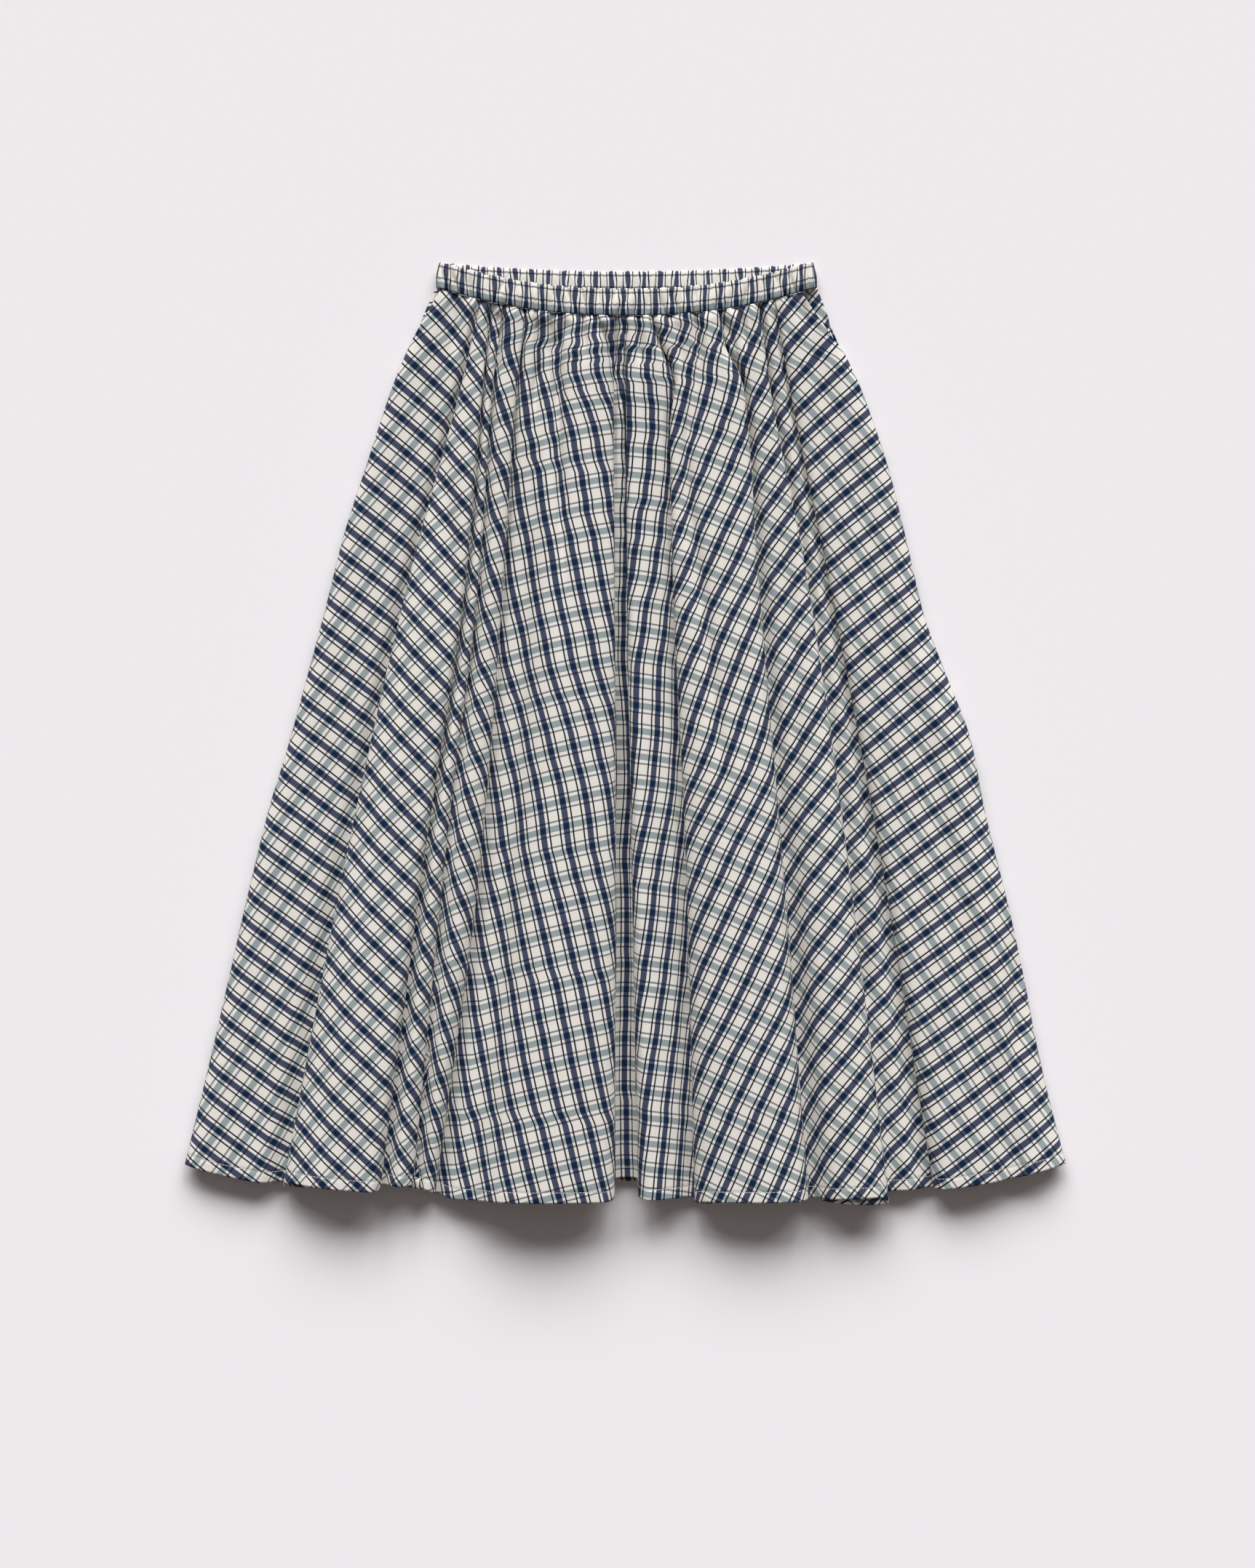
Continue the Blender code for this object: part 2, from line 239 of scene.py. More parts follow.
def makeSoftToneGroup():  # slow patches of tone and a fine fuzz over a colour
    tree, start, end = newGroup(
        "softTone",
        [("Color", "Color"), ("Place", "Vector"), ("Amount", "Float", 0.06)],
        [("Color", "Color"), ("Fuzz", "Float")],
    )
    noises = []
    for label, row in (("patches", 200), ("fuzz", -150)):
        noise = addNode(tree, "ShaderNodeTexNoise", (-800, row))
        feed(tree, noise.inputs["Vector"], start.outputs["Place"])
        noise.inputs["Scale"].default_value, noise.inputs["Detail"].default_value = toneNoise[label]
        noises.append(noise.outputs[0])
    both = mathStep(tree, "ADD", noises[0], noises[1], place=(-500, 60))
    centred = mathStep(tree, "SUBTRACT", both, 1.0, place=(-340, 60))
    gain = mathStep(tree, "MULTIPLY", centred, start.outputs["Amount"], place=(-180, 60))
    factor = mathStep(tree, "MULTIPLY_ADD", gain, 2.0, 1.0, place=(-20, 60))
    tinted = addNode(tree, "ShaderNodeVectorMath", (200, 60), operation="SCALE")
    feed(tree, tinted.inputs[0], start.outputs["Color"])
    feed(tree, tinted.inputs["Scale"], factor)
    tree.links.new(tinted.outputs[0], end.inputs["Color"])
    tree.links.new(noises[1], end.inputs["Fuzz"])
    return tree


checkGroup = makeCheckGroup()
threadGroup = makeThreadGroup()
stitchGroup = makeStitchGroup()
toneGroup = makeSoftToneGroup()

clothLook = {
    "uneven": 0.05,  # how deep the patches of tone are
    "weaveStrength": 0.22,
    "weaveDepth": 0.00007,
    "fuzz": 0.5,  # of the weave's relief
    "roughness": 0.90,
    "roughSpread": 0.16,  # how much the fuzz changes it
    "specular": 0.15,
    "sheen": 0.03,
    "sheenRoughness": 0.45,
}


def addBump(tree, strength, depth, height, place):
    bump = addNode(tree, "ShaderNodeBump", place)
    bump.inputs["Strength"].default_value = strength
    bump.inputs["Distance"].default_value = depth
    feed(tree, bump.inputs["Height"], height)
    return bump


def makeCloth(name, phases, stitchRows):  # all of it is read from the cut's own coordinates
    material = bpy.data.materials.new(name)
    material.use_nodes = True
    tree = material.node_tree
    shader = tree.nodes["Principled BSDF"]
    cut = addNode(tree, "ShaderNodeUVMap", (-1500, 200), uv_map="cut").outputs[0]
    sewing = addNode(tree, "ShaderNodeUVMap", (-1500, -300), uv_map="sewing").outputs[0]
    pattern = useGroup(tree, checkGroup, (-1200, 300), Place=cut, Warp_phase=phases[0], Weft_phase=phases[1])
    weave = useGroup(tree, threadGroup, (-1200, 20), Place=cut)
    toned = mixStep(tree, "MULTIPLY", 1.0, pattern.outputs["Color"], weave.outputs["Tone"], place=(-900, 300))
    soft = useGroup(tree, toneGroup, (-700, 300), Color=toned, Place=cut, Amount=clothLook["uneven"])
    base = soft.outputs["Color"]
    fuzz = soft.outputs["Fuzz"]
    relief = mathStep(tree, "MULTIPLY_ADD", fuzz, clothLook["fuzz"], weave.outputs["Height"], place=(-700, 0))
    bump = addBump(tree, clothLook["weaveStrength"], clothLook["weaveDepth"], relief, (-300, -100))
    for number, distance in enumerate(stitchRows):
        aside = 160 * number
        row = useGroup(tree, stitchGroup, (-1200, -300 - 220 * number), Place=sewing, Distance=distance)
        dent = row.outputs["Height"]
        base = mixStep(tree, "MIX", row.outputs["Mask"], base, stitch["thread"], place=(aside - 500, 320))
        woven = bump.outputs[0]
        bump = addBump(tree, stitch["dentStrength"], stitch["dentDepth"], dent, (aside - 100, -200))
        feed(tree, bump.inputs["Normal"], woven)
    smoothest = clothLook["roughness"] - 0.5 * clothLook["roughSpread"]
    rough = mathStep(tree, "MULTIPLY_ADD", fuzz, clothLook["roughSpread"], smoothest, place=(-300, 120))
    feed(tree, shader.inputs["Base Color"], base)
    feed(tree, shader.inputs["Roughness"], rough)
    feed(tree, shader.inputs["Normal"], bump.outputs[0])
    shader.inputs["Specular IOR Level"].default_value = clothLook["specular"]
    shader.inputs["Sheen Weight"].default_value = clothLook["sheen"]
    shader.inputs["Sheen Roughness"].default_value = clothLook["sheenRoughness"]
    shader.location = (500, 0)
    tree.nodes["Material Output"].location = (800, 0)
    return material


print("materials ready")

# t runs down the cloth, from 0 at the waist seam to 1 at the hem, and x across it from the middle.
# A pair without a note is at the waist and at the hem. Lengths are in metres unless a note says mm.
shape = {
    "seamLength": 0.813,  # from the middle of the waist seam to the hem
    "waistDip": 0.0262,  # how far the seam's ends stand above its middle
    "seamCurve": 2.2,  # power of the way out to the side
    "hemRise": 0.031,  # how far the hem's ends stand above its middle
    "hemCurve": 4,
    "bandHeight": 0.024,
    "backSeamMid": 0.018,  # how far the back's seam lies above the front's
    "waistHeight": 0.0135,  # of the gathered cloth at the seam, off the ground
    "sideHeight": (0.0072, 0.0082),
    "sideGap": 0.00036,  # from there to the front and to the back
    "sideRoll": (0.009, 0.014),  # how far in from the sides the cloth rolls down
    "seamPitch": (0.2, 0.05),  # share of the layers' spacing at the seam, t where it is whole
    "overlap": (0.006, 0.020),  # over which a layer settles onto the next
    "tuckStart": 0.003,  # how far a fold's ends stand apart at the seam
    "crowding": 0.09,  # of the points towards a piece's ends
    "hemClear": 2.5,  # mm that covered cloth stays above the hem over it
    "hemSmooth": 3,  # points
    "tuckSlack": 0.3,  # share of a fold at each end that keeps its true length
    "stations": (0.0, 0.10, 0.30, 0.62, 1.0),
    "sideLine": (0.176, 0.205, 0.254, 0.321, 0.405),  # half the width at the stations
    "bulge": (
        # t, then how much further the left and the right side stand out, in mm
        (0.0, 0.0, 0.0), (0.05, 3.5, 1.0), (0.12, 7.5, 7.5), (0.20, 8.5, 9.5), (0.28, 10.5, 7.0),
        (0.37, 9.0, 4.0), (0.43, 9.5, 9.0), (0.52, 11.0, 18.0), (0.60, 14.0, 14.0), (0.70, 12.0, 12.5),
        (0.78, 9.0, 9.0), (0.87, 5.5, 3.0), (0.94, 3.5, 0.5), (1.0, 2.0, 0.0),
    ),
    "place": (0.0, 0.38289, 0.0),  # of the middle of the waist seam
    "cutInner": 0.208,  # radius of the cut at the waist, and its length
    "cutLength": 0.820,
    "cutHalfAngle": 67.5,  # three eighths of a circle a panel
    "wall": 0.00075,
    "upperShare": 0.15,  # the part with the rows closer together
    "upperCrowding": 1.3,
    "hemEdge": 0.0011,  # the last row before the hem keeps its fold crisp
    "hemTurn": 0.0095,
    "turnRows": ((0.0, 0.55), (0.12, 1.0), (0.5, 1.05), (1.0, 1.05)),  # way back up, depth in layers
    "turnLayer": 1.25,  # a layer of the turned hem, in walls
    "turnDrop": 0.0002,  # of its first row, past the hem
}


def smoothStep(value):
    v = np.clip(value, 0.0, 1.0)
    return v * v * (3.0 - 2.0 * v)


def softCurve(knotsX, knotsY, x):  # a cubic through the knots that doesn't overshoot them
    kx = np.asarray(knotsX, float)
    ky = np.asarray(knotsY, float)
    gap = np.diff(kx)
    slope = np.diff(ky) / gap
    tangent = np.zeros_like(ky)
    tangent[0] = slope[0]
    tangent[-1] = slope[-1]
    same = slope[:-1] * slope[1:] > 0.0
    mean = 2.0 * slope[:-1] * slope[1:] / np.where(same, slope[:-1] + slope[1:], 1.0)
    tangent[1:-1] = np.where(same, mean, 0.0)
    at = np.clip(np.asarray(x, float), kx[0], kx[-1])
    i = np.clip(np.searchsorted(kx, at) - 1, 0, len(gap) - 1)
    u = (at - kx[i]) / gap[i]
    return ((2 * u**3 - 3 * u**2 + 1) * ky[i] + (u**3 - 2 * u**2 + u) * gap[i] * tangent[i]
            + (3 * u**2 - 2 * u**3) * ky[i + 1] + (u**3 - u**2) * gap[i] * tangent[i + 1])


def halfWidth(t):
    return float(softCurve(shape["stations"], shape["sideLine"], t))


def between(pair, t):
    return pair[0] + (pair[1] - pair[0]) * t


def growFrom(start, t):  # from a share at the seam to the whole further down
    share, reach = start
    return share + (1.0 - share) * float(smoothStep(t / reach))


def layerPitch(t, pair):
    return between(pair, t) * growFrom(shape["seamPitch"], t)


def tuckAt(t, tuck):
    return tuck * t - shape["tuckStart"] * (1.0 - t) ** 8


def foldEnds(lines, tops, tucks, left, right):  # both ends of each piece, tucked parts included
    starts = [left]
    ends = []
    for x, top, tuck in zip(lines, tops, tucks):
        ends.append(x if top == "left" else x + tuck)
        starts.append(x - tuck if top == "left" else x)
    ends.append(right)
    return starts, ends


turnSteps = np.radians((36.0, 72.0, 108.0, 144.0))


def crowded(a, b, count):  # places from a to b, closer together towards both
    s = np.linspace(0.0, 1.0, count)
    return a + (b - a) * (s - shape["crowding"] * np.sin(2.0 * math.pi * s))


# The rounded fold at edge. Where it hasn't started yet, the way goes a quarter towards other.
def turnAround(edge, other, radius, layer, heading):
    rows = []
    for step in turnSteps:
        part = 0.5 * (1.0 - math.cos(step))
        if radius > 0.0:
            x = edge + heading * radius * (math.sin(step) - 1.0)
        else:
            x = edge + (other - edge) * 0.25 * step / math.pi
        rows.append((x, layer + part, -1))
    return rows


# The cloth's way across, through every fold: x, layer and piece, which is -1 in a fold.
def clothPath(starts, ends, counts, backCounts, bend):
    way = []
    last = len(starts) - 1
    leftIn = 0.0
    for i in range(last + 1):
        a = starts[i]
        b = ends[i]
        tuck = b - starts[i + 1] if i < last else 0.0
        rightIn = min(bend, 0.4 * tuck) if tuck > 0.0 else 0.0
        way += [(x, 2 * i, i) for x in crowded(a + leftIn, b - rightIn, counts[i])]
        if i == last:
            break
        c = starts[i + 1]
        way += turnAround(b, c, rightIn, 2 * i, 1.0)
        span = (b - rightIn, c + rightIn) if tuck > 0.0 else (b + 0.25 * (c - b), b + 0.75 * (c - b))
        way += [(x, 2 * i + 1, -1) for x in np.linspace(span[0], span[1], backCounts[i])]
        rows = turnAround(c, b, rightIn, 2 * i + 1, -1.0)
        if tuck <= 0.0:  # not folded yet: the same places in the cloth's own order
            steps = [row[0] for row in rows][::-1]
            rows = [(x, row[1], -1) for x, row in zip(steps, rows)]
        way += rows
        leftIn = rightIn
    return np.array(way)


def smoothAlong(values, reach):  # running mean, with the ends kept
    padded = np.concatenate([np.full(reach, values[0]), values, np.full(reach, values[-1])])
    kernel = np.ones(2 * reach + 1) / (2 * reach + 1)
    return np.convolve(padded, kernel, mode="valid")


# Rise of the hem in mm. Covered cloth stays above the hem that hides it, or hangs out by its peek.
def hemLifts(path, lines, lifts, peeks):
    x, layer, way = path.T
    clear = shape["hemClear"]
    showing = np.searchsorted(lines, x)  # the piece that is seen there
    cover = np.array(lifts)[showing] + clear
    out = np.zeros(len(x))
    for i, lift in enumerate(lifts):
        own = way == i
        out[own] = np.where(showing[own] == i, lift, np.maximum(cover[own], lift))
    for i, (depth, reach) in enumerate(peeks):
        fold = np.nonzero((way == -1) & (layer > 2 * i) & (layer < 2 * i + 2))[0]
        share = (np.arange(len(fold)) + 1.0) / (len(fold) + 1.0)
        ends = out[[fold[0] - 1, fold[-1] + 1]]
        free = np.maximum(ends[0] + (ends[1] - ends[0]) * share, cover[fold])
        near = np.exp(-(1000.0 * (x[fold] - lines[i]) / max(reach, 1.0)) ** 4) if depth else 0.0
        out[fold] = free + (cover[fold] - clear - depth - free) * near
    return smoothAlong(out, shape["hemSmooth"])


def widen(x, t, half, lines):  # the sides stand out beyond the outermost folds
    downs, *bulges = zip(*shape["bulge"])
    out = x.copy()
    for side, edge, bulge in ((-1.0, lines[0], bulges[0]), (1.0, lines[-1], bulges[1])):
        reach = 0.001 * float(softCurve(downs, bulge, t))
        share = smoothStep((side * x - side * edge) / (half - side * edge))
        out += side * reach * share
    return out


# How many layers lie over (sign 1) or under (sign -1) each point of the way.
def layersOver(x, layer, starts, ends, orders, margin, sign):
    spans = []
    for i in range(len(starts)):
        spans.append((starts[i], ends[i]))
        if i < len(starts) - 1:
            spans.append(tuple(sorted((ends[i], starts[i + 1]))))
    cover = [smoothStep((x - a + margin) / margin) * smoothStep((b + margin - x) / margin) for a, b in spans]
    counts = np.zeros((len(spans), len(x)))
    for k in range(len(spans)):
        for j in range(len(spans)):
            if sign * (orders[j] - orders[k]) > 0:
                counts[k] += cover[j]
    low = np.clip(np.floor(layer).astype(int), 0, len(spans) - 1)
    high = np.clip(low + 1, 0, len(spans) - 1)
    part = layer - np.floor(layer)
    index = np.arange(len(x))
    return (1.0 - part) * counts[low, index] + part * counts[high, index]


def turnDown(x, t, half):
    roll = between(shape["sideRoll"], t)
    q = np.clip((np.abs(x) - (half - roll)) / roll, 0.0, 1.0)
    return np.sqrt(np.clip(1.0 - q * q, 0.0, 1.0))


def rowY(x, t, half, lift, seamMid, seamEnd, hemMid, hemEnd):
    u = np.abs(x) / half
    seam = seamMid + seamEnd * u ** shape["seamCurve"]
    hem = -shape["seamLength"] + hemMid + hemEnd * u ** shape["hemCurve"] + 0.001 * lift
    return seam + t * (hem - seam)


# Angle on the cut at each point: true to length where the cloth shows, with the rest in the folds.
def cutAngles(way, shown, x, z, t, weights, ease):
    steps = np.concatenate([[0.0], np.cumsum(np.hypot(np.diff(x), np.diff(z)))])
    radius = shape["cutInner"] + shape["cutLength"] * t
    arc = 2.0 * math.radians(shape["cutHalfAngle"]) * radius
    spans = []
    for i in range(len(shown) - 1):
        own = way == i
        spans.append(np.interp((shown[i], shown[i + 1]), x[own], steps[own]))
    spans[0][0] = 0.0
    spans[-1][1] = steps[-1]
    seen = sum(b - a for a, b in spans)
    gather = min(ease, arc / seen)
    hidden = (arc - gather * seen) * np.array(weights) / sum(weights)
    places = []
    arcs = []
    at = -0.5 * arc
    for i, (a, b) in enumerate(spans):
        places += [a, b]
        arcs += [at, at + gather * (b - a)]
        at = arcs[-1]
        if i < len(hidden):
            free = shape["tuckSlack"] * (spans[i + 1][0] - b)
            places += [b + free, spans[i + 1][0] - free]
            arcs += [at + free, at + hidden[i] - free]
            at += hidden[i]
    return np.interp(steps, places, arcs) / radius


def cutPlace(angle, t):  # on the flat cut, in metres from the circle's centre
    radius = shape["cutInner"] + shape["cutLength"] * t
    return np.column_stack([radius * np.sin(angle), radius * np.cos(angle)])


# Quads through rows of points, with a UV map for the cut and one for the sewing, and a thin wall.
def clothMesh(name, rows, cuts, sewings, wall, closed=False):
    count = len(rows[0])
    points = np.vstack(rows) + np.array(shape["place"])
    ends = 0 if closed else 1
    here = np.arange(len(rows) - ends)[:, None] * count
    below = (here + count) % len(points)
    column = np.arange(count - ends)[None, :]
    after = (column + 1) % count
    faces = np.stack([here + column, below + column, below + after, here + after], axis=2).reshape(-1, 4)
    mesh = bpy.data.meshes.new(name)
    mesh.from_pydata(points.tolist(), [], faces.tolist())
    corner = faces.reshape(-1)
    for label, places in (("cut", cuts), ("sewing", sewings)):
        layer = mesh.uv_layers.new(name=label)
        values = np.vstack(places)[corner]
        if closed:
            values = closeSeam(values, corner, count, np.vstack(places))
        layer.data.foreach_set("uv", values.astype(np.float32).ravel())
    mesh.shade_smooth()
    body = bpy.data.objects.new(name, mesh)
    scene.collection.objects.link(body)
    if wall:
        solid = body.modifiers.new("wall", "SOLIDIFY")
        solid.thickness = wall
        solid.offset = 0.0
        solid.use_rim = True
    return body


# On a ring the last faces' coordinates run on past the end, and don't go back to the start.
def closeSeam(values, corner, count, places):
    fixed = values.copy().reshape(-1, 4, 2)
    column = (corner % count).reshape(-1, 4)
    step = places[count - 1, 0] + (places[1, 0] - places[0, 0])
    wraps = column[:, 0] == count - 1
    fixed[wraps, 2:, 0] += step
    return fixed.reshape(-1, 2)


front = {
    "pitch": (0.0024, 0.0040),  # between stacked layers
    "bend": 0.55,  # radius of a fold, in pitches
    "rollDepth": (0.0016, 0.0072),  # how far the cloth rolls down at a fold's edge
    "rollWidth": (0.0050, 0.0150),
    "under": (0.55, 0.55, 1.4),  # cloth beside that edge: extra depth, width in rolls, sharpness
    "spacing": 0.0040,  # between points across, at the hem
    "rows": (34, 58),
    "gapes": ((0.005, 0.062), (0.015, 0.076)),  # a pocket slit: width at the waist, t where it closes
    "folds": (
        # name, which side is on top, x in mm at the five stations, tuck in mm, cloth hidden in it in
        # degrees, how far its hem peeks out and how wide, in mm
        ("left_outer", "right", (-134, -153, -197, -256, -316), 53, 6.6, (5, 26)),
        ("left_inner", "left", (-126, -133, -147, -185, -226), 44, 8.2, (0, 0)),
        ("left_strip", "left", (-114, -124, -135, -166, -196), 40, 8.6, (0, 0)),
        ("left_front", "left", (-93, -102, -113, -134, -176), 44, 8.7, (5, 19)),
        ("centre_left", "left", (-11, -12, -11, -10, -11), 50, 10.5, (0, 0)),
        ("centre_right", "right", (0, 0, 1, 5, 11), 32, 6.4, (0, 0)),
        ("right_front", "right", (24, 39, 43, 55, 63), 84, 13.5, (3, 28)),
        ("right_inner", "left", (84, 109, 121, 143, 167), 68, 9.4, (0, 0)),
        ("right_outer", "left", (122, 133, 165, 203, 241), 62, 7.0, (7, 60)),
        ("right_side", "right", (137, 151, 184, 233, 283), 42, 6.1, (0, 0)),
    ),
    "wander": (
        # fold, t, reach and shift in mm of a bend in its line
        ("right_front", 0.07, 0.035, 8.0),
        ("right_inner", 0.045, 0.020, -5.0),
    ),
    "pieces": (
        # name, order, order of the return after it, rise of its hem in mm, then fractions across what
        # shows of it and the cloth's height there at the hem, in mm
        ("side_left", 0, 1, 0, ((0.18, 17), (0.60, 18), (1.00, 20))),
        ("panel_left", 8, 7, 5, ((0.07, 23), (0.50, 37), (0.92, 37), (1.00, 33))),
        ("strip_outer", 6, 5, 11, ((0.50, 35), (1.00, 30))),
        ("strip_inner", 4, 3, 8, ((0.50, 32), (1.00, 26))),
        ("front_left", 2, 1, -1, ((0.09, 18), (0.17, 19), (0.37, 37), (0.52, 43), (0.75, 41), (1.00, 31))),
        ("centre", 0, 1, 19, ((0.50, 17),)),
        ("front_right", 2, 3, 1, ((0.00, 31), (0.15, 35), (0.90, 19))),
        ("panel_right", 8, 7, -1, ((0.00, 26), (0.30, 37), (0.60, 40), (0.90, 37), (1.00, 32))),
        ("panel_outer", 6, 5, 0, ((0.12, 25), (0.35, 33), (0.65, 35), (1.00, 29))),
        ("valley_right", 4, 5, 3, ((0.30, 20), (0.75, 16))),
        ("side_right", 6, 0, 1,
         ((0.00, 21), (0.10, 24), (0.35, 24), (0.60, 20), (0.72, 22), (0.90, 16))),
    ),
    "sideCrown": 14.0,  # height at both sides of the hem, in mm
    "opening": 1.9,  # how fast the hem's heights take over below the waist
    "creases": (
        # depth and width in mm, then (t, x in mm) along the crease
        (3.0, 5.0, ((0.0, -153), (0.045, -156), (0.09, -160))),
        (5.0, 4.0, ((0.0, -116), (0.03, -120), (0.05, -118), (0.10, -122))),
        (6.5, 4.0, ((0.0, -83.5), (0.03, -81.5), (0.05, -81), (0.08, -83), (0.15, -88))),
        (6.0, 4.0, ((0.0, -67), (0.02, -69), (0.04, -68), (0.07, -64), (0.14, -60))),
        (7.0, 5.0, ((0.0, -56), (0.015, -56.5), (0.03, -61), (0.055, -63), (0.077, -64), (0.30, -58),
                    (0.42, -56))),
        (6.0, 4.0, ((0.0, -27.5), (0.015, -23), (0.035, -17.5), (0.057, -13), (0.085, -10), (0.12, -10))),
        (3.5, 3.5, ((0.0, -41), (0.03, -39), (0.06, -38))),
        (3.5, 3.5, ((0.0, 9), (0.03, 11), (0.07, 14))),
        (4.5, 4.0, ((0.0, 45), (0.03, 49), (0.06, 51), (0.09, 52))),
        (6.5, 5.0, ((0.0, 65), (0.045, 66), (0.095, 61), (0.174, 55.5), (0.29, 65), (0.35, 72), (0.47, 83),
                    (0.57, 92), (0.74, 105))),
        (4.0, 3.5, ((0.0, 90), (0.015, 91.5), (0.03, 96), (0.045, 100), (0.06, 104), (0.08, 110))),
        (3.5, 3.5, ((0.0, 106), (0.03, 109), (0.06, 111))),
        (3.0, 4.0, ((0.0, 158), (0.02, 163), (0.05, 170))),
        (4.0, 9.0, ((0.14, -168), (0.22, -165), (0.39, -157), (0.55, -152))),
        (5.0, 10.0, ((0.12, 132), (0.16, 136), (0.34, 151), (0.45, 155), (0.62, 157), (0.76, 162),
                     (1.0, 166))),
        (5.0, 8.0, ((0.62, 340), (0.76, 350), (1.0, 357), (1.3, 357))),
    ),
    "creaseScale": 0.00125,  # metres of depth to a mm in that table
    "creaseSharp": 1.3,  # 1 is a pointed crease and 2 a round one
    "creaseFade": (0.3, 0.6),  # share of its length over which it starts and ends
    "waves": (
        # waves across, depth in mm, t over which they fade, slow shift
        (13, 1.4, 0.085, 1.1),
        (31, 1.0, 0.045, 2.1),
        (71, 0.35, 0.025, 3.0),
    ),
    "pinch": (0.25, 0.018),  # share of the gathers at the seam, t where they are whole
    "puff": 0.0036,  # how far the gathered cloth stands up below the band
    "puffStart": (0.3, 0.009),  # its share at the seam, t where it is whole
    "puffReach": 0.16,
    "seamValley": (0.0055, 0.0042, 0.07),  # of a fold near the waist: depth, width, t where it fades
    "floor": (0.0040, 0.0042, 0.05),  # lowest height: at the seam, its rise, t of the rise
    "floorLayer": 0.0009,  # more for each layer beneath
    "floorSoft": 0.0005,
    "pocketWidth": (0.052, 0.008),  # where the cloth clears the pocket facing, and how softly
    "pocketLength": (0.19, 0.03),
    "pocketRise": 0.0022,
    "gatherReach": 0.03,  # t over which the waist's gathering fades from the check
}

foldNames, foldTops, foldPlaces, foldTucks, foldHidden, foldPeeks = zip(*front["folds"])
pieceOrders, returnOrders, pieceLifts, pieceCrowns = list(zip(*front["pieces"]))[1:]
frontOrders = [order for pair in zip(pieceOrders, returnOrders) for order in pair][:-1]


def frontLines(t):
    lines = [0.001 * float(softCurve(shape["stations"], places, t)) for places in foldPlaces]
    for name, place, reach, shift in front["wander"]:
        lines[foldNames.index(name)] += 0.001 * shift * math.exp(-((t - place) / reach) ** 2)
    return lines


def waistWaves(x, t, half, waves):  # small gathers, no two alike, gone towards the sides
    u = x / half
    total = np.zeros_like(x)
    for number, (count, depth, reach, shift) in enumerate(waves):
        phase = shift * np.sin(7.0 * u + number) + 0.6 * np.sin(19.0 * u)
        total += 0.001 * depth * np.cos(math.pi * count * u + phase) * math.exp(-t / reach)
    return total * (1.0 - np.abs(u) ** 6)


def frontCreases(x, t):
    total = np.zeros_like(x)
    starting, ending = front["creaseFade"]
    for depth, width, spots in front["creases"]:
        downs, acrosses = zip(*spots)
        middle = 0.001 * float(softCurve(downs, acrosses, t))
        length = downs[-1] - downs[0]
        fade = growFrom(front["pinch"], t)
        if downs[0] > 0.0:
            fade = float(smoothStep((t - downs[0]) / (starting * length)))
        fade *= float(smoothStep((downs[-1] - t) / (ending * length)))
        away = np.abs(x - middle) / (0.001 * width)
        total -= front["creaseScale"] * depth * fade * np.exp(-away ** front["creaseSharp"])
    return total


# The top cloth rolls down towards each fold's edge. Near the waist the folds are gathers.
def foldDips(x, t, lines):
    total = np.zeros_like(x)
    depth = between(front["rollDepth"], t)
    width = between(front["rollWidth"], t)
    deeper, nearer, sharp = front["under"]
    valleyDepth, valleyWidth, reach = front["seamValley"]
    valley = valleyDepth * math.exp(-t / reach) * growFrom(front["pinch"], t)
    for line, top in zip(lines, foldTops):
        side = (x - line) * (-1.0 if top == "left" else 1.0)
        q = np.clip(1.0 - side / width, 0.0, 1.0)
        rolled = 1.0 - np.sqrt(1.0 - q * q)
        under = (1.0 + deeper) * np.exp(-(np.abs(side) / (nearer * width)) ** sharp)
        total -= depth * np.where(side > 0.0, rolled, under)
        total -= valley * np.exp(-(np.abs(x - line) / valleyWidth) ** front["creaseSharp"])
    return total


def puffOut(x, t, half):
    rise = growFrom(front["puffStart"], t) * math.exp(-t / front["puffReach"])
    return front["puff"] * rise * (1.0 - np.abs(x / half) ** 5)


def softAbove(z, floor):
    return 0.5 * (z + floor + np.sqrt((z - floor) ** 2 + front["floorSoft"] ** 2))


def frontTop(x, t, half, lines):  # height of the uppermost cloth before creases and gathers
    places = [-half]
    heights = [front["sideCrown"]]
    for left, right, crowns in zip([-half] + lines, lines + [half], pieceCrowns):
        for part, height in crowns:
            places.append(left + part * (right - left))
            heights.append(height)
    places.append(half)
    heights.append(front["sideCrown"])
    hem = 0.001 * softCurve(places, heights, x)
    waist = shape["waistHeight"]
    return waist + (hem - waist) * (1.0 - (1.0 - t) ** front["opening"])


def pointCounts(starts, ends, spacing):  # for each piece and each return, from the hem's widths
    counts = [max(5, int(round((b - a) / spacing))) for a, b in zip(starts, ends)]
    backs = [max(3, int(round((end - after) / (2.0 * spacing)))) for end, after in zip(ends, starts[1:])]
    return counts, backs


def frontEnds(t, half, lines):
    tucks = [tuckAt(t, 0.001 * tuck) for tuck in foldTucks]
    gape = [width * (1.0 - min(t / close, 1.0)) for width, close in front["gapes"]]
    return foldEnds(lines, foldTops, tucks, -half + gape[0], half - gape[1])


frontCounts = pointCounts(*frontEnds(1.0, halfWidth(1.0), frontLines(1.0)), front["spacing"])


def frontFloor(x, t, half, under):
    low, rise, reach = front["floor"]
    width, widthSoft = front["pocketWidth"]
    length, lengthSoft = front["pocketLength"]
    inPocket = smoothStep((np.abs(x) - half + width) / widthSoft)
    inPocket = inPocket * float(1.0 - smoothStep((t - length) / lengthSoft))
    floor = low + rise * float(smoothStep(t / reach)) + front["floorLayer"] * under
    return floor + front["pocketRise"] * inPocket


